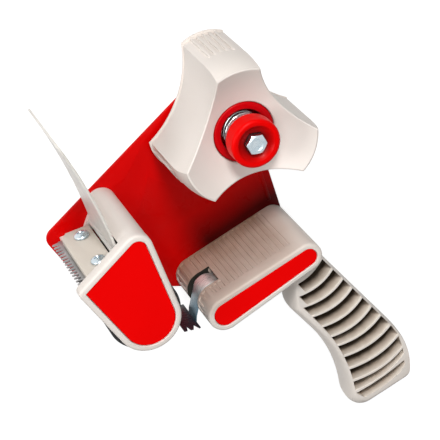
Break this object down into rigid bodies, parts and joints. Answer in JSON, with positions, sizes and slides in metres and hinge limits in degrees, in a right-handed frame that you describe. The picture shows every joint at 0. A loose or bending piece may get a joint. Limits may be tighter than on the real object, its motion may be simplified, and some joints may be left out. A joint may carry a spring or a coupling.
{
  "type": "packing tape dispenser",
  "caption": "Hand-held packing tape dispenser: side plate, lobed roll hub with a knob brake, roller, toothed blade, wiper flap and ribbed grip.",
  "frame": {"origin": "under the middle of the whole object, in the plane of the side plate's outer face that it lies on", "axes": "+Z along the roll axis, out of the side plate; +X from the cutting head toward the grip; +Y from the head toward the roll"},
  "size_m": [0.2496, 0.1518, 0.0608],
  "materials": {
    "beige": "moulded plastic, satin",
    "plate_red": "painted sheet steel",
    "inlay_red": "plain inlay",
    "knob_red": "moulded plastic, satin to gloss",
    "steel": "polished spring steel",
    "zinc": "zinc plating",
    "rubber": "matt rubber",
    "milky": "milky, slightly translucent",
    "bearing_white": "plain bearing plastic",
    "fibre": "vulcanised fibre"
  },
  "bodies": {
    "frame": {"side_plate": "plate_red", "axle_nut": "zinc", "brake_washer": "fibre", "spring_cup": "knob_red", "brake_spring": "steel", "head_housing": "beige", "head_insert": "inlay_red", "blade_bar": "beige", "blade": "steel", "blade_screw_1": "zinc", "blade_screw_2": "zinc", "flap_pin": "steel", "roller_shaft": "steel", "handle": "beige", "handle_insert": "inlay_red", "head_screw_1": "zinc", "head_screw_2": "zinc", "handle_screw_1": "zinc", "handle_screw_2": "zinc"},
    "hub": {"hub": "beige", "hub_bush": "bearing_white"},
    "brake_thrust": {"pressure_washer": "zinc"},
    "knob": {"brake_knob": "knob_red", "axle_bolt": "zinc"},
    "roller": {"roller_tyre": "rubber", "roller_core": "bearing_white"},
    "flap": {"wiper_flap": "milky"},
    "tongue": {"tape_tongue": "steel"}
  },
  "joints": [
    {"name": "hub_spin", "type": "hinge", "parent": "frame", "child": "hub", "pos_m": [-0.0364, 0.0414, 0], "axis": [0, 0, 1], "continuous": true},
    {"name": "knob_travel", "type": "slide", "parent": "frame", "child": "brake_thrust", "axis": [0, 0, 1], "range_m": [-0.002, 0.002], "deforming": ["brake_spring"]},
    {"name": "knob_turn", "type": "hinge", "parent": "brake_thrust", "child": "knob", "pos_m": [-0.0364, 0.0414, 0], "axis": [0, 0, 1], "range_deg": [-725, 725]},
    {"name": "roller_spin", "type": "hinge", "parent": "frame", "child": "roller", "pos_m": [-0.0415, -0.0573, 0], "axis": [0, 0, 1], "continuous": true},
    {"name": "flap_swing", "type": "hinge", "parent": "frame", "child": "flap", "pos_m": [-0.0659, -0.037, 0], "axis": [0, 0, 1], "range_deg": [0, 25], "stiffness_Nm_per_rad": 0.05},
    {"name": "tongue_flex", "type": "hinge", "parent": "frame", "child": "tongue", "pos_m": [-0.00124, -0.03403, 0], "axis": [0, 0, 1], "range_deg": [-10, 0], "stiffness_Nm_per_rad": 0.3}
  ],
  "couplings": [
    {"joint": "knob_turn", "follows": "knob_travel", "rad_per_m": 6283.2}
  ]
}
